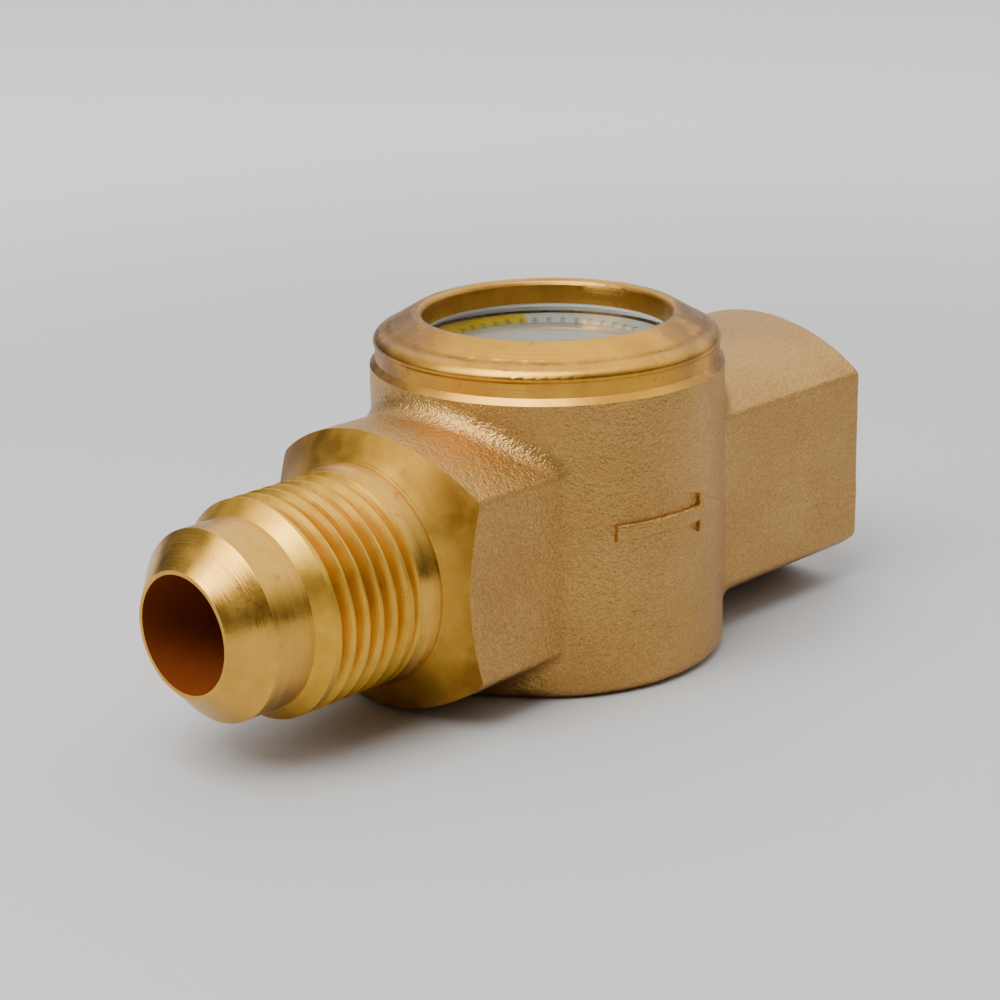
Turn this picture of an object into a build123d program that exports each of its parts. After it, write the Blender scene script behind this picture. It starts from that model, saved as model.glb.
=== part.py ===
from build123d import *
from math import atan2, cos, degrees, radians, sin, sqrt, tan
import os

# Refrigerant sight glass with a moisture indicator: male flare inlet by female flare outlet.
# Millimetres, +Z up. The origin is on the window axis, on the flat bottom of the chamber.
# The flow axis is parallel to X: the male flare is at -X and the female socket at +X.

# Forged body
FLOW_Z = 12.75  # height of the flow axis above the bottom
CHAMBER_R = 16.1
FORGED_TOP_Z = 26.95
BLOCK_WIDTH = 23.9  # across the wrench flats
INLET_CROWN = 12.35  # crown apex above and below the flow axis
OUTLET_TOP_CROWN = 12.6
OUTLET_BOTTOM_CROWN = 12.35
BLOCK_CROWN_R = 18.9
BLOCK_CORNER_R = 1.0
SOCKET_END_X = 32.0
SOCKET_EDGE_R = 0.7
BLEND_R = 2.0  # both blocks into the chamber
BOTTOM_EDGE_R = 1.3
BELOW = 6.0  # how far the forging is drawn past its bottom before it is cut flat
INLET_BLANK_X = -28.0  # end of the inlet block before its face is turned
TOLERANCE = 0.01  # square millimetres, for finding edges on the chamber cylinder
SINK = 1.0  # how far a solid reaches into its neighbour where they are joined
PAST = 1.0  # how far a cut reaches past the surface that it opens

# Turned male flare: 1/2 in SAE 45 degree, 3/4-16 UNF
PITCH = 25.4 / 16
FLANK_SLOPE = tan(radians(30))
THREAD_R = 19.05 / 2
THREAD_DEPTH = 0.92
THREAD_START_X = -35.07  # centre of the first groove above the flow axis
THREAD_TURNS = 5
FADE_IN_TURNS = 0.5
FADE_OUT_TURNS = 0.6
FADE_OVERLAP = 3.0  # degrees that a fading end shares with the whole turns
MOUTH_X = -44.1
FLOW_R = 5.1
NOSE_LIP_R = 5.45
LAND_R = 8.3
LAND_END_X = -37.2
COLLAR_X = (-26.1, -24.6)
COLLAR_R = 9.9
FACE_SLOPE = tan(radians(30))  # axial run of the turned face for each mm of radius
FACE_X_AT_12 = -22.9  # axial place of the turned face at a radius of 12 mm

# Female flare socket, same thread
SOCKET_MINOR_R = 8.66
SOCKET_MAJOR_R = 9.575
SOCKET_MOUTH_R = 9.75
RELIEF_R = 9.75
RELIEF_X = (17.4, 18.9)
SEAT_R = 8.6
TOOL_OVERRUN = 0.1  # how far a thread groove is drawn past the surface that it opens in

# Neck and rolled rim, as (radius, height)
CHAMFER_TOP = (15.6, 27.5)
NECK_TOP_Z = 28.75
RIM_EDGE = (15.75, 29.0)
RIM_SIDE_Z = 29.2
RIM_CORNER = (15.5, 29.62)
RIM_SHOULDER = (14.85, 30.02)
RIM_SLOPE = (13.4, 30.9)
RIM_CREST = (12.15, 31.63)
RIM_ROLL = (11.6, 31.55)
RIM_LIP = (11.25, 31.15)

# Inside of the chamber
CHAMBER_FLOOR_Z = 5.6
CHAMBER_FLOOR_CHAMFER = 1.5
CHAMBER_BORE_R = 10.4
SPRING_BORE_R = 11.2
SPRING_SHELF_Z = 20.2
POCKET_R = 13.6
POCKET_Z = (23.9, 29.4)

# Glass and its two rings
GLASS_R = 13.5
GLASS_Z = (24.9, 29.1)
GLASS_CHAMFER = 0.3
SEAL_INNER_R = 12.2
WASHER_INNER_R = 11.35

# Moisture indicator stack, held up against the glass by a coil spring
CARRIER_R = 11.05
CARRIER_Z = (23.2, 24.55)
CARRIER_FLOOR = 0.4
CARRIER_POCKET_R = 10.45
CARRIER_RIM_R = 8.9
CARRIER_HUB_R = 2.2
SPOKES = 4
SPOKE_WIDTH = 1.6
SPOKE_OVERLAP = 0.5  # how far a spoke runs into the rim
SCREEN_R = 10.4
SCREEN_T = 0.3
SCREEN_HOLE_R = 0.45
SCREEN_HOLE_PITCH = 1.6
SCREEN_HOLES_STEP = 6  # each ring of holes has this many more than the one inside it
CHART_R = (9.9, 12.1)
WIRE_R = 0.3
SPRING_PITCH = 1.0

# Copper flare gasket
GASKET_T = 0.8
GASKET_GAP = 0.03
GASKET_R = 8.3

# Raised flow arrow on the front of the chamber
ARROW_Z = 15.2
ARROW_AZIMUTH = -92
ARROW_LENGTH = 13.6
ARROW_HEAD = 4.2
ARROW_HEIGHT = 3.6
ARROW_SHAFT = 1.5
ARROW_RELIEF = 0.45
ARROW_EDGE_R = 0.25

FLOW_AXIS = Axis((0, 0, FLOW_Z), (1, 0, 0))


def disc(outer_r, bottom, top, inner_r=0.0):
    """Flat disc or washer on the window axis."""
    ring = Circle(outer_r) - Circle(inner_r) if inner_r else Circle(outer_r)
    return Pos(0, 0, bottom) * extrude(ring, top - bottom)


def about_window(*points):
    """Solid turned about the window axis, from (radius, height) points."""
    return revolve(Plane.XZ * Polygon(*points, align=None), Axis.Z)


def about_flow(*points):
    """Solid turned about the flow axis, from (x, radius) points."""
    return revolve(Plane.XZ * Pos(0, FLOW_Z) * Polygon(*points, align=None), FLOW_AXIS)


def block(x_start, x_end, top_crown, bottom_crown):
    """Forged end block: flat sides, crowned top and bottom, soft corners."""
    half_width = BLOCK_WIDTH / 2
    crown_drop = BLOCK_CROWN_R - sqrt(BLOCK_CROWN_R**2 - half_width**2)
    top = top_crown - crown_drop
    bottom = crown_drop - bottom_crown
    outline = [
        Line((-half_width, bottom), (-half_width, top)),
        ThreePointArc((-half_width, top), (0, top_crown), (half_width, top)),
        Line((half_width, top), (half_width, bottom)),
        ThreePointArc((half_width, bottom), (0, -bottom_crown), (-half_width, bottom)),
    ]
    section = make_face(outline)
    section = fillet(section.vertices(), BLOCK_CORNER_R)
    end = Plane((x_start, 0, FLOW_Z), x_dir=(0, 1, 0), z_dir=(1, 0, 0))
    return extrude(end * section, x_end - x_start)


def joins_chamber(edge):
    """True for the edges where a block meets the chamber cylinder."""
    points = [edge @ t for t in (0, 0.3, 0.5, 0.7, 1)]
    on_cylinder = all(abs(p.X**2 + p.Y**2 - CHAMBER_R**2) < TOLERANCE for p in points)
    return on_cylinder and edge.length < 2 * CHAMBER_R


def forging():
    """Outer shape of the forged body, before turning."""
    solid = disc(CHAMBER_R, -BELOW, FORGED_TOP_Z) + block(INLET_BLANK_X, 0, INLET_CROWN, INLET_CROWN)
    solid = fillet([e for e in solid.edges() if joins_chamber(e)], BLEND_R)
    solid = solid + block(0, SOCKET_END_X, OUTLET_TOP_CROWN, OUTLET_BOTTOM_CROWN)
    solid = fillet([e for e in solid.edges() if joins_chamber(e) and e.center().X > 0], BLEND_R)
    solid = fillet(solid.faces().sort_by(Axis.X)[-1].edges(), SOCKET_EDGE_R)
    solid -= Pos(0, 0, -BELOW / 2) * Box(4 * SOCKET_END_X, 4 * CHAMBER_R, BELOW)
    return fillet(solid.faces().sort_by(Axis.Z)[0].edges(), BOTTOM_EDGE_R)


def flow_arrow():
    """Raised arrow on the chamber wall, pointing from the inlet to the outlet."""
    half = ARROW_LENGTH / 2
    neck = half - ARROW_HEAD
    upper = [(-half, ARROW_SHAFT / 2), (neck, ARROW_SHAFT / 2), (neck, ARROW_HEIGHT / 2), (half, 0)]
    lower = [(x, -y) for x, y in reversed(upper[:-1])]
    outward = (cos(radians(ARROW_AZIMUTH)), sin(radians(ARROW_AZIMUTH)), 0)
    along = (-outward[1], outward[0], 0)
    plate = Plane((0, 0, ARROW_Z), x_dir=along, z_dir=outward) * Polygon(*upper, *lower, align=None)
    plug = extrude(plate, 2 * CHAMBER_R, dir=outward)
    arrow = plug & disc(CHAMBER_R + ARROW_RELIEF, 0, FORGED_TOP_Z, CHAMBER_R - SINK)
    front = max(arrow.faces().filter_by(GeomType.CYLINDER), key=lambda face: face.radius)
    return fillet(front.edges(), ARROW_EDGE_R)


def face_x(radius):
    """Axial place of the turned face of the male block at a radius from the flow axis."""
    return FACE_X_AT_12 + FACE_SLOPE * (radius - 12)


def thread_groove(deep_r, deep_width, open_r, x_start, length, along=1, rise=0.0):
    """Helical V groove about the flow axis for a 60 degree thread.

    It starts above the flow axis at x_start and runs towards +X, or -X where along is -1.
    A rise lifts the groove away from the axis over its length, so that it fades out.
    """
    pitch_r = (deep_r + open_r) / 2
    centre = Vector(x_start, 0, FLOW_Z)
    cone = atan2(rise, length)
    path = Helix(
        PITCH / cos(cone),
        length,
        pitch_r,
        center=centre,
        direction=(along, 0, 0),
        cone_angle=degrees(cone),
    )
    section_plane = Plane(path @ 0, x_dir=(path @ 0) - centre, z_dir=path % 0)
    deep_half = deep_width / 2
    open_half = deep_half + abs(open_r - deep_r) * FLANK_SLOPE
    section = Polygon(
        (deep_r - pitch_r, -deep_half),
        (deep_r - pitch_r, deep_half),
        (open_r - pitch_r, open_half),
        (open_r - pitch_r, -open_half),
        align=None,
    )
    groove = sweep(section_plane * section, path=path, is_frenet=True)
    return groove if along > 0 else groove.rotate(FLOW_AXIS, 180)


def male_thread(spud):
    """Cut the male thread: whole turns, with a groove that fades out at each end."""
    root_r = THREAD_R - THREAD_DEPTH
    root_width = 7 / 8 * PITCH - 2 * THREAD_DEPTH * FLANK_SLOPE
    profile = (root_r, root_width, THREAD_R + TOOL_OVERRUN)
    whole = THREAD_TURNS * PITCH
    overlap = FADE_OVERLAP / 360 * PITCH
    rise = THREAD_DEPTH + TOOL_OVERRUN
    lead_in = thread_groove(*profile, THREAD_START_X + overlap, FADE_IN_TURNS * PITCH, -1, rise)
    run_out_x = THREAD_START_X + whole - overlap
    run_out = thread_groove(*profile, run_out_x, FADE_OUT_TURNS * PITCH, 1, rise)
    spud -= thread_groove(*profile, THREAD_START_X, whole)
    spud -= lead_in.rotate(FLOW_AXIS, FADE_OVERLAP)
    return spud - run_out.rotate(FLOW_AXIS, -FADE_OVERLAP)


def male_flare():
    """Turned spud: nose cone, plain land, thread and collar."""
    cone_end_x = MOUTH_X + LAND_R - NOSE_LIP_R
    thread_start_x = LAND_END_X + THREAD_R - LAND_R
    spud = about_flow(
        (MOUTH_X, 0),
        (MOUTH_X, NOSE_LIP_R),
        (cone_end_x, LAND_R),
        (LAND_END_X, LAND_R),
        (thread_start_x, THREAD_R),
        (COLLAR_X[0], THREAD_R),
        (COLLAR_X[1], COLLAR_R),
        (face_x(COLLAR_R) + SINK, COLLAR_R),
        (face_x(COLLAR_R) + SINK, 0),
    )
    return male_thread(spud)


def female_socket():
    """Space of the threaded socket: chamfered mouth, thread, relief groove and 45 degree seat."""
    seat_end_x = RELIEF_X[0] - (SEAT_R - FLOW_R)
    space = about_flow(
        (SOCKET_END_X + PAST, 0),
        (SOCKET_END_X + PAST, SOCKET_MOUTH_R + PAST),
        (SOCKET_END_X - (SOCKET_MOUTH_R - SOCKET_MINOR_R), SOCKET_MINOR_R),
        (RELIEF_X[1], SOCKET_MINOR_R),
        (RELIEF_X[1], RELIEF_R),
        (RELIEF_X[0], RELIEF_R),
        (RELIEF_X[0], SEAT_R),
        (seat_end_x, FLOW_R),
        (seat_end_x, 0),
    )
    groove_x = RELIEF_X[1] - PITCH / 2
    length = SOCKET_END_X + PITCH / 2 - groove_x
    groove = thread_groove(SOCKET_MAJOR_R, PITCH / 8, SOCKET_MINOR_R - TOOL_OVERRUN, groove_x, length)
    return space + groove


def neck_and_rim():
    """Turned neck above the forging, with the rim rolled inwards over the glass."""
    outline = [
        Polyline(
            (0, RIM_LIP[1]),
            (0, FORGED_TOP_Z - SINK),
            (CHAMBER_R, FORGED_TOP_Z - SINK),
            (CHAMBER_R, FORGED_TOP_Z),
            CHAMFER_TOP,
            (CHAMFER_TOP[0], NECK_TOP_Z),
            RIM_EDGE,
            (RIM_EDGE[0], RIM_SIDE_Z),
        ),
        ThreePointArc((RIM_EDGE[0], RIM_SIDE_Z), RIM_CORNER, RIM_SHOULDER),
        ThreePointArc(RIM_SHOULDER, RIM_SLOPE, RIM_CREST),
        ThreePointArc(RIM_CREST, RIM_ROLL, RIM_LIP),
        Line(RIM_LIP, (0, RIM_LIP[1])),
    ]
    return revolve(Plane.XZ * make_face(outline), Axis.Z)


def chamber_space():
    """Space inside the chamber: well, spring shelf, glass pocket and window."""
    return about_window(
        (0, CHAMBER_FLOOR_Z),
        (CHAMBER_BORE_R - CHAMBER_FLOOR_CHAMFER, CHAMBER_FLOOR_Z),
        (CHAMBER_BORE_R, CHAMBER_FLOOR_Z + CHAMBER_FLOOR_CHAMFER),
        (CHAMBER_BORE_R, SPRING_SHELF_Z),
        (SPRING_BORE_R, SPRING_SHELF_Z),
        (SPRING_BORE_R, POCKET_Z[0]),
        (POCKET_R, POCKET_Z[0]),
        (POCKET_R, POCKET_Z[1]),
        (RIM_LIP[0], POCKET_Z[1]),
        (RIM_LIP[0], RIM_CREST[1] + PAST),
        (0, RIM_CREST[1] + PAST),
    )


def body():
    """Hot-forged brass body in one piece."""
    reach = 2 * CHAMBER_R
    solid = forging() + flow_arrow()
    solid -= about_flow((2 * MOUTH_X, 0), (2 * MOUTH_X, reach), (face_x(reach), reach), (face_x(0), 0))
    solid = solid + male_flare() + neck_and_rim()
    start_x = MOUTH_X - PAST
    end_x = RELIEF_X[0]
    passage = about_flow((start_x, 0), (start_x, FLOW_R), (end_x, FLOW_R), (end_x, 0))
    return solid - passage - female_socket() - chamber_space()


def sight_glass():
    """Thick disc of toughened glass with both edges bevelled."""
    glass = disc(GLASS_R, *GLASS_Z)
    return chamfer(glass.edges().filter_by(GeomType.CIRCLE), GLASS_CHAMFER)


def carrier():
    """Shallow spoked cup that holds the screen and the indicator paper."""
    floor_top = CARRIER_Z[0] + CARRIER_FLOOR
    cup = disc(CARRIER_R, *CARRIER_Z, CARRIER_POCKET_R)
    cup += disc(CARRIER_R, CARRIER_Z[0], floor_top, CARRIER_RIM_R)
    cup += disc(CARRIER_HUB_R, CARRIER_Z[0], floor_top)
    for i in range(SPOKES):
        arm = Pos(CARRIER_RIM_R / 2 + SPOKE_OVERLAP, 0, (CARRIER_Z[0] + floor_top) / 2)
        arm = arm * Box(CARRIER_RIM_R, SPOKE_WIDTH, CARRIER_FLOOR)
        cup += Rot(0, 0, 45 + 360 / SPOKES * i) * arm
    return cup


def screen(bottom):
    """Perforated disc under the indicator paper."""
    rings = int((CARRIER_RIM_R - SCREEN_HOLE_R) / SCREEN_HOLE_PITCH)
    plate = Circle(SCREEN_R) - Circle(SCREEN_HOLE_R)
    for ring in range(1, rings + 1):
        plate -= PolarLocations(ring * SCREEN_HOLE_PITCH, SCREEN_HOLES_STEP * ring) * Circle(SCREEN_HOLE_R)
    return Pos(0, 0, bottom) * extrude(plate, SCREEN_T)


def spring():
    """Open coil spring between the shelf in the chamber and the carrier."""
    coil_r = CARRIER_R - WIRE_R
    bottom = SPRING_SHELF_Z + WIRE_R
    path = Helix(SPRING_PITCH, CARRIER_Z[0] - WIRE_R - bottom, coil_r, center=(0, 0, bottom))
    wire = Plane(path @ 0, x_dir=(0, 0, 1), z_dir=path % 0) * Circle(WIRE_R)
    return sweep(wire, path=path, is_frenet=True)


def flare_gasket():
    """Loose copper bonnet that lines the 45 degree seat of the socket."""
    back = GASKET_GAP * sqrt(2)
    front = back + GASKET_T * sqrt(2)
    seat_end_x = RELIEF_X[0] - SEAT_R
    inner_r = FLOW_R + back
    return about_flow(
        (seat_end_x + inner_r + back, inner_r),
        (seat_end_x + GASKET_R + back, GASKET_R),
        (seat_end_x + GASKET_R + front, GASKET_R),
        (seat_end_x + inner_r + front, inner_r),
    )


screen_bottom = CARRIER_Z[0] + CARRIER_FLOOR
paper_bottom = screen_bottom + SCREEN_T
nodes = {
    "body": body(),
    "sight_glass": sight_glass(),
    "glass_seal": disc(GLASS_R, POCKET_Z[0], GLASS_Z[0], SEAL_INNER_R),
    "rim_washer": disc(GLASS_R, GLASS_Z[1], POCKET_Z[1], WASHER_INNER_R),
    "chart_ring": disc(CHART_R[1], CARRIER_Z[1], GLASS_Z[0], CHART_R[0]),
    "indicator_paper": disc(SCREEN_R, paper_bottom, CARRIER_Z[1]),
    "backing_screen": screen(screen_bottom),
    "indicator_carrier": carrier(),
    "indicator_spring": spring(),
    "flare_gasket": flare_gasket(),
}

os.makedirs("parts", exist_ok=True)
for name, solid in nodes.items():
    export_step(solid, f"parts/{name}.step")
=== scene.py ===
from math import cos, hypot, pi, radians, sin, tan

import bmesh
import bpy
import numpy as np
from mathutils import Matrix, Vector, noise


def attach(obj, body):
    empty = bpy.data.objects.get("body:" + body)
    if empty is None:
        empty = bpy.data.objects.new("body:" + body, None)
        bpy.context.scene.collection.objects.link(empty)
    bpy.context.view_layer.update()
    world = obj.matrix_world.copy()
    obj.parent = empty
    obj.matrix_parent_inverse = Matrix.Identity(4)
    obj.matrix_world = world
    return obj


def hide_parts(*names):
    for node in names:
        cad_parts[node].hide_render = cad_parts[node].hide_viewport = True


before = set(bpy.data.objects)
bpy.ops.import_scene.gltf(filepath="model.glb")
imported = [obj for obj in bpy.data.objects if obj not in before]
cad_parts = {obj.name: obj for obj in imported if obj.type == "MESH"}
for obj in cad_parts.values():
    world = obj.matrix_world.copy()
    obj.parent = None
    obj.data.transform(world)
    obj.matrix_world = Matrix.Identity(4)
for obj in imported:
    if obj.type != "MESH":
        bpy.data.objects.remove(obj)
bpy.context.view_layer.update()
scene = bpy.context.scene

MM = 0.001

# The body's own datum places, as in the CAD model
FLOW_Z = 12.75 * MM
CHAMBER_R = 16.1 * MM
FORGED_TOP_Z = 26.95 * MM
CROWN_R = 18.9 * MM
CROWN_RISE = 12.35 * MM  # from the flow axis to the crowned top and bottom of the inlet block
OUTLET_CROWN_RISE = 12.6 * MM  # and to the crowned top of the outlet block
CROWN_CENTRES_Z = (
    FLOW_Z + CROWN_RISE - CROWN_R,
    FLOW_Z - CROWN_RISE + CROWN_R,
    FLOW_Z + OUTLET_CROWN_RISE - CROWN_R,
)
NECK_EDGE_Z = 28.75 * MM
GROUND_R = 12.1 * MM  # the glass is ground matt outside this radius, where it is clamped
FLOW_R = 5.1 * MM
MOUTH_X = -44.1 * MM
LAND_END_X = -37.2 * MM
COLLAR_X = -26.1 * MM
COLLAR_R = 9.9 * MM
THREAD_TOP_R = 9.6 * MM  # just over the thread's crests
COLLAR_END_X = -20 * MM  # past the collar's end, inside the end face
FACE_SLOPE = tan(radians(30))
FACE_X_AT_AXIS = -22.9 * MM - FACE_SLOPE * 12 * MM  # where the sloping end face would meet the flow axis
SOCKET_START_X = 8.7 * MM
SOCKET_R = 9.8 * MM
SOCKET_CLEAR_R = 14.1 * MM  # about the window axis, where the outlet passage has left the chamber
RECESS_R = 13.7 * MM  # just over the widest recess under the window
RECESS_Z = (5 * MM, 29.5 * MM)
WINDOW_EDGE_R = 12.2 * MM
WINDOW_EDGE_Z = 31.6 * MM
NEAR = 0.03 * MM  # how close a face centre lies to the surface that it is part of
NECK_STEP = 0.01 * MM  # how far over the forging's top the turned neck's faces have their centres

# The photograph's view
VIEW_YAW = radians(-46.53)
VIEW_ELEVATION = radians(17.77)
VIEW_ROLL = radians(-0.95)
VIEW_DISTANCE = 241.9 * MM
VIEW_TARGET = Vector((-6.52, 0, 15.07)) * MM
LENS = 96.41

# Surface relief of the forging and the rim
WELD = 0.001 * MM
FORGED_EDGE = 1.0 * MM  # longest mesh edge on the forging
RIM_EDGE = 0.45 * MM  # and on the rim
FACET_DEPTH = 0.025 * MM  # how far a CAD facet may lie inside its true surface
SLOW_SIZE = 4.5 * MM
SLOW_RELIEF = 0.05 * MM
GRAIN_SIZE = 1.6 * MM
GRAIN_RELIEF = 0.025 * MM
GRAIN_OFFSET = Vector((7, 3, 5))  # keeps the two layers of relief apart
SMOOTH_ANGLE = radians(28)
SCUFF_R = 14.4 * MM
SCUFF_WIDTH = 0.3 * MM
SCUFF_DEPTH = 0.09 * MM
NICK_SIZE = 0.5 * MM


def add_camera():
    """Camera at the photograph's viewing angle."""
    data = bpy.data.cameras.new("camera")
    data.lens = LENS
    data.clip_start = 0.01
    data.clip_end = 20
    back = Vector((
        sin(VIEW_YAW) * cos(VIEW_ELEVATION),
        -cos(VIEW_YAW) * cos(VIEW_ELEVATION),
        sin(VIEW_ELEVATION),
    ))
    level = Vector((cos(VIEW_YAW), sin(VIEW_YAW), 0))
    right = Matrix.Rotation(VIEW_ROLL, 3, back) @ level
    up = back.cross(right)
    turn = Matrix((right, up, back)).transposed().to_4x4()
    camera = bpy.data.objects.new("camera", data)
    camera.matrix_world = Matrix.Translation(VIEW_TARGET + back * VIEW_DISTANCE) @ turn
    scene.collection.objects.link(camera)
    scene.camera = camera


# ---------------------------------------------------------------- shader helpers


class Shader:
    """One procedural material, with short calls for the nodes that it is made of."""

    def __init__(self, name):
        self.material = bpy.data.materials.new(name)
        self.material.use_nodes = True
        self.nodes = self.material.node_tree.nodes
        self.links = self.material.node_tree.links
        self.surface = self.nodes["Principled BSDF"]
        self.place = self.nodes.new("ShaderNodeTexCoord").outputs["Object"]

    def put(self, socket, value):
        if isinstance(value, bpy.types.NodeSocket):
            self.links.new(value, socket)
        else:
            socket.default_value = value

    def set(self, **values):
        """Give the surface these values, named as its sockets are, with _ for each space."""
        for name, value in values.items():
            if isinstance(value, tuple) and len(value) == 3:
                value = (*value, 1)
            self.put(self.surface.inputs[name.replace("_", " ")], value)

    def node(self, kind, values, output=0, **settings):
        made = self.nodes.new("ShaderNode" + kind)
        for name, value in settings.items():
            setattr(made, name, value)
        for key, value in values.items():
            self.put(made.inputs[key], value)
        return made.outputs[output]

    def math(self, operation, a, b=0.0):
        return self.node("Math", {0: a, 1: b}, operation=operation)

    def noise(self, size, detail=2.0, rough=0.5, seed=0.0):
        """Noise from 0 to 1 with features of that size, in metres."""
        values = {"Vector": self.place, "W": seed, "Scale": 1 / size, "Detail": detail, "Roughness": rough}
        return self.node("TexNoise", values, noise_dimensions="4D")

    def lines(self, along, size, detail=2.0):
        """Noise that changes only along one distance, as lathe marks do."""
        values = {"W": along, "Scale": 1 / size, "Detail": detail, "Roughness": 0.6}
        return self.node("TexNoise", values, noise_dimensions="1D")

    def range(self, value, low, high, to_low=0.0, to_high=1.0):
        """Map one range of values to another, with soft ends."""
        values = {"Value": value, "From Min": low, "From Max": high, "To Min": to_low, "To Max": to_high}
        return self.node("MapRange", values, interpolation_type="SMOOTHSTEP")

    def mix(self, share, first, second, blend="MIX"):
        """Colour between two others, by the share of the second."""
        made = self.nodes.new("ShaderNodeMix")
        made.data_type = "RGBA"
        made.blend_type = blend
        self.put(made.inputs["Factor"], share)
        for socket, colour in ((made.inputs[6], first), (made.inputs[7], second)):
            self.put(socket, (*colour, 1) if isinstance(colour, tuple) else colour)
        return made.outputs[2]

    def bump(self, height, distance, strength=1.0, under=None):
        values = {"Height": height, "Distance": distance, "Strength": strength}
        if under is not None:
            values["Normal"] = under
        return self.node("Bump", values)

    def within(self, value, middle, half):
        """1 where the value is nearer than half to the middle, or else 0."""
        return self.math("LESS_THAN", self.math("ABSOLUTE", self.math("SUBTRACT", value, middle)), half)

    def xyz(self):
        return [self.node("SeparateXYZ", {0: self.place}, output=i) for i in range(3)]

    def radius(self, first, second):
        squares = [self.math("MULTIPLY", v, v) for v in (first, second)]
        return self.math("SQRT", self.math("ADD", *squares))

    def around(self, axis, centre):
        """Direction that runs round an axis, for the stretched highlight of a turned surface."""
        offset = self.node("VectorMath", {0: self.place, 1: centre}, operation="SUBTRACT")
        crossed = self.node("VectorMath", {0: axis, 1: offset}, operation="CROSS_PRODUCT")
        return self.node("VectorMath", {0: crossed}, operation="NORMALIZE")


# ---------------------------------------------------------------- brass

FLOW_AXIS = (1, 0, 0)
WINDOW_AXIS = (0, 0, 1)
LATHE_MARK = 0.02 * MM
PAINTED_SIDE_SHADE = (0.25, 0.12, 0.04)
PAINTED_DARK_REFLECTION = (0.25, 0.11, 0.015)
GRIME = (0.16, 0.07, 0.02)
SPOT = (0.22, 0.10, 0.02)


def forged_brass():
    """Blasted forging: fine bright grain over slow changes of tone."""
    s = Shader("forged_brass")
    tone = s.noise(9 * MM, 3, 0.55)
    grain = s.noise(0.22 * MM, 2, 0.6, seed=2.0)
    pits = s.noise(0.55 * MM, 1.5, 0.5, seed=5.0)
    colour = s.mix(s.range(tone, 0.35, 0.65), (0.53, 0.298, 0.088), (0.60, 0.348, 0.104))
    colour = s.mix(s.range(grain, 0.3, 0.7, 0.4, 0.0), colour, (0.26, 0.12, 0.03))
    s.set(
        Base_Color=colour,
        Metallic=1.0,
        Roughness=s.range(grain, 0.25, 0.75, 0.44, 0.30),
        Normal=s.bump(grain, 0.12 * MM, 1.0, s.bump(pits, 0.14 * MM, 0.8)),
    )
    return s.material


def rim_painted_shade_and_nicks(s, colour):
    """Painted shade on the two sides of the rim that lie to the camera's left and right, clouded by noise,
    and the dark line of nicks round it.
    """
    x, y, _ = s.xyz()
    radius = s.radius(x, y)
    # Painted shade: the rim is darker towards the camera's left and right, broken up by noise clouds.
    across = s.math("ADD", s.math("MULTIPLY", x, 0.69), s.math("MULTIPLY", y, -0.73))
    shaded_side = s.range(s.math("ABSOLUTE", s.math("DIVIDE", across, radius)), 0.5, 1.0)
    cloud = s.range(s.noise(3 * MM, 4, 0.6, seed=3.0), 0.25, 0.6)
    colour = s.mix(s.math("MULTIPLY", shaded_side, cloud), colour, PAINTED_SIDE_SHADE)
    off_line = s.math("ABSOLUTE", s.math("SUBTRACT", radius, SCUFF_R))
    line = s.range(off_line, 0.02 * MM, 0.38 * MM, 1.0, 0.0)
    nicks = s.range(s.noise(0.25 * MM, 3, 0.7, seed=8.0), 0.3, 0.6, 0.25, 1.0)
    depth = s.range(s.noise(5 * MM, 2, 0.5, seed=11.0), 0.35, 0.6, 0.25, 0.85)
    scuffed = s.math("MULTIPLY", line, s.math("MULTIPLY", nicks, depth))
    return s.mix(scuffed, colour, GRIME)


def face_painted_reflection(s, colour):
    """Painted dark reflection on the outer part of the end face, strongest on its front and back sides and
    clouded by noise.
    """
    _, y, z = s.xyz()
    radius = s.radius(y, s.math("SUBTRACT", z, FLOW_Z))
    outer = s.range(radius, 10 * MM, 13.5 * MM)
    # Painted dark reflection: darker towards the face's front and back sides, where it faces the camera and
    # away.
    shaded_side = s.range(s.math("DIVIDE", s.math("ABSOLUTE", y), radius), 0.35, 0.9, 0.25, 1.0)
    cloud = s.range(s.noise(4 * MM, 4, 0.6, seed=6.0), 0.3, 0.55, 0.4, 1.0)
    reflected_dark = s.math("MULTIPLY", outer, s.math("MULTIPLY", shaded_side, cloud))
    return s.mix(reflected_dark, colour, PAINTED_DARK_REFLECTION)


def turned_brass(name, axis, light, dark, rough, shade_pass=None):
    """Brass off the lathe: marks that run round the axis, and a slight tarnish."""
    s = Shader(name)
    x, y, z = s.xyz()
    about_flow = axis == FLOW_AXIS
    along = x if about_flow else s.math("ADD", z, s.radius(x, y))
    fine = s.lines(along, 0.10 * MM, 3)
    coarse = s.lines(along, 0.7 * MM, 1)
    tarnish = s.noise(5 * MM, 4, 0.6)
    colour = s.mix(s.range(tarnish, 0.38, 0.68), light, dark)
    colour = s.mix(s.range(fine, 0.3, 0.7, 0.0, 0.35), colour, dark)
    spots = s.range(s.noise(1.6 * MM, 5, 0.7, seed=4.0), 0.58, 0.72, 0.0, 0.55)
    colour = s.mix(spots, colour, SPOT)
    # The optional pass paints shade: a dark reflection on the end face, darker sides on the rim together
    # with its real nicks.
    if shade_pass:
        colour = shade_pass(s, colour)
    s.set(
        Base_Color=colour,
        Metallic=1.0,
        Roughness=s.range(s.noise(2 * MM, 3), 0.3, 0.7, rough - 0.03, rough + 0.06),
        Anisotropic=0.55,
        Tangent=s.around(axis, (0, 0, FLOW_Z if about_flow else 0)),
        Normal=s.bump(fine, LATHE_MARK, 0.8, s.bump(coarse, 2 * LATHE_MARK, 0.6)),
    )
    return s.material


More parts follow.
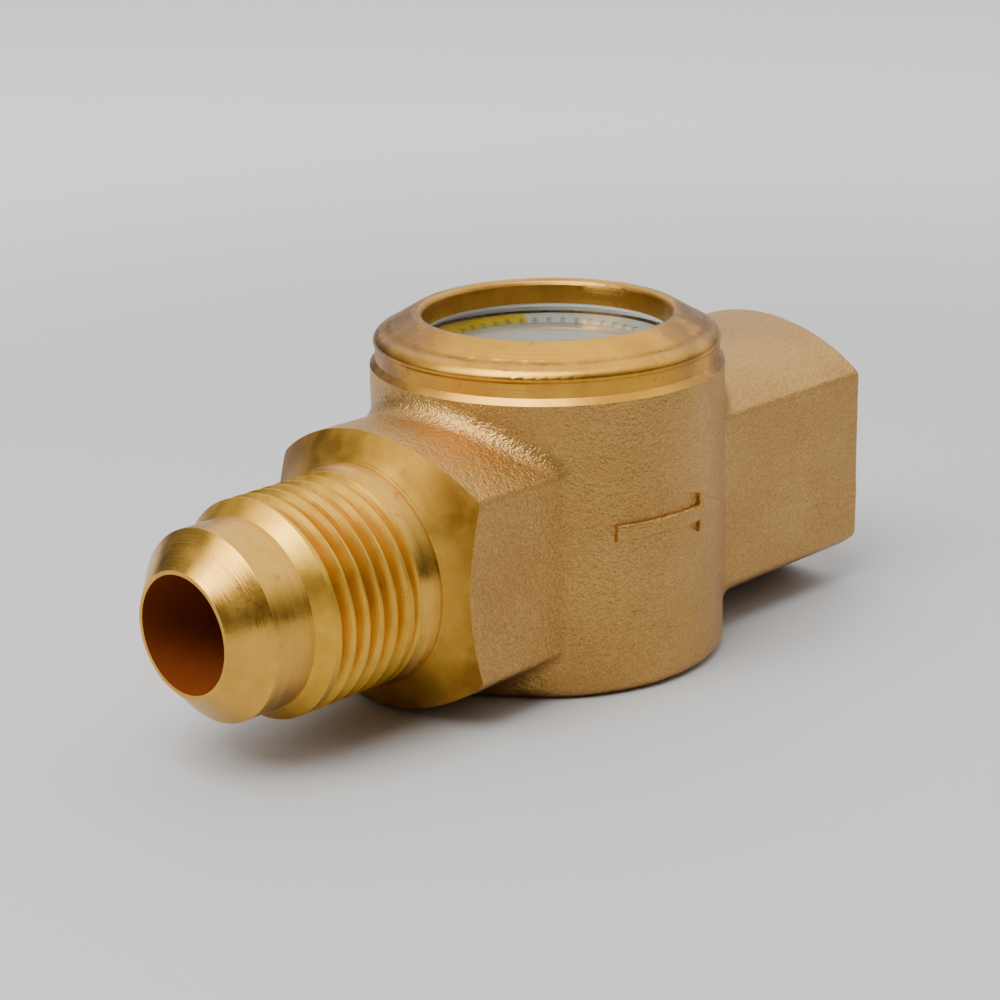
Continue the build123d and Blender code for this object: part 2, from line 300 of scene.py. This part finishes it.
def bore_brass():
    """Drilled inside: duller and redder than the outside, darker near the mouth and lighter deeper in."""
    s = Shader("bore_brass")
    tone = s.noise(3 * MM, 3)
    # The colour is darker near the mouth and lighter deeper in.
    deep = s.range(s.xyz()[0], MOUTH_X, MOUTH_X + 14 * MM)
    mouth_tone = s.mix(tone, (0.17, 0.036, 0.007), (0.21, 0.048, 0.009))
    s.set(
        Base_Color=s.mix(deep, mouth_tone, s.mix(tone, (0.42, 0.095, 0.017), (0.48, 0.12, 0.022))),
        Metallic=0.15,
        Specular_IOR_Level=0.12,
        Roughness=s.range(tone, 0.3, 0.7, 0.38, 0.5),
        Normal=s.bump(s.lines(s.xyz()[0], 0.2 * MM), 0.02 * MM, 0.5),
    )
    return s.material


# ---------------------------------------------------------------- body

FORGED, FLOW_TURNED, THREAD, FACE, RIM, WINDOW, INSIDE = range(7)

# How a triangle is cut when some of its edges are halved: corners 0 to 2, edge middles 3 to 5
SPLITS = {
    (True, False, False): ((0, 3, 2), (3, 1, 2)),
    (True, True, False): ((3, 1, 4), (0, 3, 4), (0, 4, 2)),
    (True, True, True): ((0, 3, 5), (3, 1, 4), (5, 4, 2), (3, 4, 5)),
}


def surface_kind(point):
    """Which finish the body has at a face's centre. The socket is turned as the thread is."""
    about_window = hypot(point.x, point.y)
    about_flow = hypot(point.y, point.z - FLOW_Z)
    if point.x > MOUTH_X + NEAR and about_flow < FLOW_R + NEAR:
        return INSIDE
    if point.x > SOCKET_START_X and about_flow < SOCKET_R + NEAR and about_window > SOCKET_CLEAR_R:
        return THREAD
    if about_window < RECESS_R and RECESS_Z[0] < point.z < RECESS_Z[1]:
        return INSIDE
    if point.z > FORGED_TOP_Z + NECK_STEP:
        return WINDOW if about_window < WINDOW_EDGE_R and point.z < WINDOW_EDGE_Z else RIM
    if point.x < LAND_END_X:
        return FLOW_TURNED
    if point.x < COLLAR_X and about_flow < THREAD_TOP_R:
        return THREAD
    if point.x < COLLAR_END_X and about_flow < COLLAR_R + NEAR:
        return FLOW_TURNED
    if abs(point.x - FACE_X_AT_AXIS - FACE_SLOPE * about_flow) < NEAR:
        return FACE
    return FORGED


def split_long_edges(points, triangles, kinds, limits):
    """Halve the edges that are too long for their kind of surface until none is left."""
    while True:
        edges = np.sort(np.stack([triangles, np.roll(triangles, -1, axis=1)], axis=2), axis=2)
        lengths = np.linalg.norm(points[edges[..., 0]] - points[edges[..., 1]], axis=2)
        long = lengths > limits[kinds][:, None]
        if not long.any():
            return points, triangles, kinds
        keys = edges[..., 0] * len(points) + edges[..., 1]
        halved = np.unique(keys[long])
        at = np.searchsorted(halved, keys).clip(max=len(halved) - 1)
        split = halved[at] == keys
        middles = at + len(points)
        ends = np.stack([halved // len(points), halved % len(points)])
        points = np.vstack([points, points[ends].mean(axis=0)])
        made = [triangles[~split.any(axis=1)]]
        made_kinds = [kinds[~split.any(axis=1)]]
        for pattern, children in SPLITS.items():
            for turn in range(1 if len(children) == 4 else 3):
                chosen = (np.roll(split, -turn, axis=1) == pattern).all(axis=1)
                corners = np.hstack([np.roll(v[chosen], -turn, axis=1) for v in (triangles, middles)])
                made += [corners[:, child] for child in children]
                made_kinds += [kinds[chosen]] * len(children)
        triangles = np.vstack(made)
        kinds = np.concatenate(made_kinds)


def to_true_surface(point):
    """Move a forged point from its facet onto the round surface that the facet stands for."""
    about_window = hypot(point.x, point.y)
    if abs(about_window - CHAMBER_R) < FACET_DEPTH:
        scale = CHAMBER_R / about_window
        return Vector((point.x * scale, point.y * scale, point.z))
    for centre_z in CROWN_CENTRES_Z:
        about_crown = hypot(point.y, point.z - centre_z)
        if abs(about_crown - CROWN_R) < FACET_DEPTH:
            scale = CROWN_R / about_crown
            return Vector((point.x, point.y * scale, centre_z + (point.z - centre_z) * scale))
    return point


def relief(point):
    """Height of the forging's uneven skin at a point, in metres."""
    slow = noise.fractal(point / SLOW_SIZE, 0.9, 2.1, 2)
    grain = noise.fractal(point / GRAIN_SIZE + GRAIN_OFFSET, 0.7, 2.2, 2)
    return slow * SLOW_RELIEF + grain * GRAIN_RELIEF


def only_in(kind, triangles, kinds, count):
    """True for the points that lie in faces of this kind alone."""
    mask = np.zeros(count, bool)
    mask[triangles[kinds == kind]] = True
    mask[triangles[kinds != kind]] = False
    return mask


def roughen(points, normals, chosen):
    """Give the forged skin its relief. It ends at the edges of the turned surfaces and of the base."""
    for index in np.flatnonzero(chosen & (points[:, 2] > NEAR)):
        place = to_true_surface(Vector(points[index]))
        points[index] = place + Vector(normals[index]) * relief(place)


def scuff_rim(points, normals, chosen):
    """Press the line of small nicks that the rolling tool leaves round the rim."""
    offsets = (np.hypot(points[:, 0], points[:, 1]) - SCUFF_R) / SCUFF_WIDTH
    for index in np.flatnonzero(chosen & (points[:, 2] > NECK_EDGE_Z) & (abs(offsets) < 1)):
        nick = max(0.0, noise.noise(Vector(points[index]) / NICK_SIZE) + 0.25)
        points[index] -= normals[index] * SCUFF_DEPTH * (1 - offsets[index] ** 2) * nick


def body_mesh():
    """The CAD body's mesh with the skin of a forging. The turned surfaces keep their CAD shape."""
    mesh = bmesh.new()
    mesh.from_mesh(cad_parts["body"].data)
    bmesh.ops.remove_doubles(mesh, verts=mesh.verts, dist=WELD)
    points = np.array([v.co for v in mesh.verts])
    triangles = np.array([[v.index for v in f.verts] for f in mesh.faces])
    kinds = np.array([surface_kind(f.calc_center_median()) for f in mesh.faces])
    mesh.free()
    limits = np.full(INSIDE + 1, np.inf)
    limits[FORGED] = FORGED_EDGE
    limits[RIM] = RIM_EDGE
    points, triangles, kinds = split_long_edges(points, triangles, kinds, limits)
    data = bpy.data.meshes.new("forged_body")
    data.from_pydata(points.tolist(), [], triangles.tolist())
    data.polygons.foreach_set("material_index", kinds)
    normals = np.zeros(points.shape, np.float32)
    data.vertex_normals.foreach_get("vector", normals.ravel())
    roughen(points, normals, only_in(FORGED, triangles, kinds, len(points)))
    scuff_rim(points, normals, only_in(RIM, triangles, kinds, len(points)))
    data.vertices.foreach_set("co", points.ravel())
    data.update()
    data.shade_smooth()
    data.set_sharp_from_angle(angle=SMOOTH_ANGLE)
    return data


def brass_finishes():
    """The body's materials, in the order of the kinds of surface."""
    return (
        forged_brass(),
        turned_brass("nose_brass", FLOW_AXIS, (0.74, 0.41, 0.07), (0.58, 0.31, 0.048), 0.22),
        turned_brass("thread_brass", FLOW_AXIS, (0.80, 0.46, 0.055), (0.60, 0.32, 0.035), 0.32),
        turned_brass("face_brass", FLOW_AXIS, (0.64, 0.35, 0.05), (0.46, 0.235, 0.03), 0.34, face_painted_reflection),
        turned_brass("rim_brass", WINDOW_AXIS, (0.70, 0.36, 0.045), (0.54, 0.26, 0.035), 0.32, rim_painted_shade_and_nicks),
        turned_brass("window_brass", WINDOW_AXIS, (0.58, 0.31, 0.06), (0.44, 0.22, 0.04), 0.3),
        bore_brass(),
    )


def body_piece():
    """The forged body, in place of the plain CAD body."""
    data = body_mesh()
    for material in brass_finishes():
        data.materials.append(material)
    piece = bpy.data.objects.new("forged_body", data)
    scene.collection.objects.link(piece)
    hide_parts("body")
    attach(piece, "root")


# ---------------------------------------------------------------- window

YELLOW_MIDDLE = 105  # degrees about the window axis
YELLOW_HALF = 52
MARK_STEP = 7.5
MARK_HALF = 0.16  # half a mark's width, as a share of the step
MARK_R = 10 * MM
MARK_HALF_LENGTH = 0.45 * MM
PLAIN_SIZE = 0.8 * MM


def window_glass():
    """Clear glass, ground matt at its edge. It lets light through to the chart."""
    s = Shader("window_glass")
    x, y, _ = s.xyz()
    ground = s.range(s.radius(x, y), GROUND_R, GROUND_R + 0.1 * MM)
    grit = s.mix(s.noise(0.2 * MM, 3), (0.30, 0.31, 0.29), (0.42, 0.43, 0.40))
    s.set(
        Base_Color=s.mix(ground, (0.93, 0.97, 0.95), grit),
        Roughness=s.math("MULTIPLY", ground, 0.6),
        IOR=1.5,
        Transmission_Weight=s.math("SUBTRACT", 1.0, ground),
    )
    lets_light_by = s.node("BsdfTransparent", {"Color": (0.9, 0.94, 0.92, 1)})
    shadow = s.node("LightPath", {}, output="Is Shadow Ray")
    both = s.node("MixShader", {0: shadow, 1: s.surface.outputs[0], 2: lets_light_by})
    s.links.new(both, s.nodes["Material Output"].inputs["Surface"])
    return s.material


def printed_chart():
    """Chart ring: one yellow field, the rest pale grey, with plain printed marks."""
    s = Shader("printed_chart")
    x, y, _ = s.xyz()
    turn = s.math("MULTIPLY", s.math("ARCTAN2", y, x), 180 / pi)
    radius = s.radius(x, y)
    yellow = s.within(turn, YELLOW_MIDDLE, YELLOW_HALF)
    paper = s.noise(1.5 * MM, 3)
    pale = s.mix(paper, (0.50, 0.51, 0.47), (0.60, 0.60, 0.55))
    gold = s.mix(paper, (0.62, 0.42, 0.02), (0.70, 0.50, 0.04))
    colour = s.mix(yellow, pale, gold)
    across = s.within(s.math("FRACT", s.math("DIVIDE", turn, MARK_STEP)), 0.5, MARK_HALF)
    mark = s.math("MULTIPLY", across, s.within(radius, MARK_R, MARK_HALF_LENGTH))
    colour = s.mix(s.math("MULTIPLY", mark, 0.6), colour, (0.07, 0.07, 0.07))
    s.set(Base_Color=colour, Roughness=0.55)
    return s.material


def indicator_paper():
    """Soft grey filter paper, with fibres that show."""
    s = Shader("indicator_paper")
    fibre = s.noise(0.25 * MM, 4, 0.7)
    tone = s.noise(4 * MM, 2)
    colour = s.mix(s.range(tone, 0.3, 0.7), (0.13, 0.125, 0.11), (0.19, 0.18, 0.155))
    colour = s.mix(s.range(fibre, 0.35, 0.7, 0, 0.5), colour, (0.26, 0.24, 0.21))
    s.set(Base_Color=colour, Roughness=0.9, Normal=s.bump(fibre, 0.04 * MM, 0.7))
    return s.material


def plain(name, colour, second, metallic, rough):
    """Small hidden pieces: two tones, uneven gloss and fine bump."""
    s = Shader(name)
    tone = s.noise(PLAIN_SIZE, 3)
    s.set(
        Base_Color=s.mix(tone, colour, second),
        Metallic=metallic,
        Roughness=s.range(tone, 0.3, 0.7, rough, rough + 0.12),
        Normal=s.bump(s.noise(PLAIN_SIZE / 5, 2), 0.01 * MM, 0.6),
    )
    return s.material


def finish_nodes():
    """Materials of the pieces that keep their CAD shape."""
    stainless = plain("stainless", (0.50, 0.50, 0.48), (0.60, 0.59, 0.57), 1.0, 0.28)
    carrier = plain("carrier", (0.62, 0.44, 0.2), (0.5, 0.34, 0.14), 1.0, 0.3)
    finishes = {
        "sight_glass": ("window_glass", window_glass()),
        "glass_seal": ("seal", plain("seal", (0.03, 0.03, 0.03), (0.05, 0.05, 0.05), 0.0, 0.5)),
        "rim_washer": ("washer", plain("washer", (0.62, 0.61, 0.56), (0.70, 0.69, 0.64), 0.0, 0.45)),
        "chart_ring": ("chart", printed_chart()),
        "indicator_paper": ("indicator_paper", indicator_paper()),
        "backing_screen": ("stainless", stainless),
        "indicator_spring": ("stainless", stainless),
        "indicator_carrier": ("carrier_brass", carrier),
        "flare_gasket": ("copper", plain("copper", (0.75, 0.38, 0.24), (0.62, 0.28, 0.16), 1.0, 0.32)),
    }
    for name, (slot, material) in finishes.items():
        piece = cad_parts[name]
        piece.data.materials.clear()
        piece.data.materials.append(material)


# ---------------------------------------------------------------- stage


FLOOR_HALF = 2.5
FLOOR_NEAR = 0.1
FLOOR_FAR = 0.3
LIGHT_AIM = Vector((0, 0, 0.015))
BACKDROP = (0.75, 0.2, 0.63)


def add_floor():
    """Plain pale floor with a painted shadow: darker near the object, which also lights the sides less."""
    data = bpy.data.meshes.new("floor")
    corners = [(x * FLOOR_HALF, y * FLOOR_HALF, 0) for x, y in ((-1, -1), (1, -1), (1, 1), (-1, 1))]
    data.from_pydata(corners, [], [(0, 1, 2, 3)])
    s = Shader("floor")
    x, y, _ = s.xyz()
    # Painted shadow: the floor is darker within FLOOR_FAR of the object, darkest inside FLOOR_NEAR.
    away = s.range(s.radius(x, y), FLOOR_NEAR, FLOOR_FAR)
    grey_with_painted_shadow = s.mix(away, (0.52, 0.52, 0.52), (0.86, 0.86, 0.86))
    tone = s.mix(s.noise(0.3, 2), (0.98, 0.98, 0.98), (1, 1, 1))
    s.set(Base_Color=s.mix(1.0, grey_with_painted_shadow, tone, "MULTIPLY"), Roughness=0.6)
    data.materials.append(s.material)
    floor = bpy.data.objects.new("floor", data)
    scene.collection.objects.link(floor)


def add_softbox(name, direction, distance, size, power, colour=(1, 1, 1)):
    """Rectangular lamp that looks at the object from that direction."""
    data = bpy.data.lights.new(name, "AREA")
    data.shape = "RECTANGLE"
    data.size, data.size_y = size
    data.energy = power
    data.color = colour
    light = bpy.data.objects.new(name, data)
    towards = Vector(direction).normalized()
    light.location = LIGHT_AIM + towards * distance
    light.rotation_euler = towards.to_track_quat("Z", "Y").to_euler()
    scene.collection.objects.link(light)


def add_world():
    """Room light: bright on the right behind the object, dim towards the camera and near the floor."""
    world = bpy.data.worlds.new("studio")
    scene.world = world
    world.use_nodes = True
    nodes, links = world.node_tree.nodes, world.node_tree.links

    def ramp(value, low, high, to_low, to_high):
        made = nodes.new("ShaderNodeMapRange")
        made.interpolation_type = "SMOOTHSTEP"
        links.new(value, made.inputs["Value"])
        for name, number in zip(("From Min", "From Max", "To Min", "To Max"), (low, high, to_low, to_high)):
            made.inputs[name].default_value = number
        return made.outputs[0]

    direction = nodes.new("ShaderNodeTexCoord").outputs["Generated"]
    facing = nodes.new("ShaderNodeVectorMath")
    facing.operation = "DOT_PRODUCT"
    links.new(direction, facing.inputs[0])
    facing.inputs[1].default_value = BACKDROP
    height = nodes.new("ShaderNodeSeparateXYZ")
    links.new(direction, height.inputs[0])
    strength = nodes.new("ShaderNodeMath")
    strength.operation = "MULTIPLY"
    links.new(ramp(facing.outputs["Value"], 0.2, 0.85, 0.2, 1.7), strength.inputs[0])
    links.new(ramp(height.outputs["Z"], 0.1, 0.6, 0.3, 1.0), strength.inputs[1])
    background = nodes["Background"]
    background.inputs["Color"].default_value = (1, 1, 1, 1)
    links.new(strength.outputs[0], background.inputs["Strength"])


add_camera()
body_piece()
finish_nodes()
add_floor()
add_world()
add_softbox("key", (-0.45, -0.05, 0.89), 0.7, (0.5, 0.5), 6.2, (1.0, 0.98, 0.95))
add_softbox("fill", (-0.75, 0.25, 0.6), 0.6, (0.4, 0.4), 1.4)
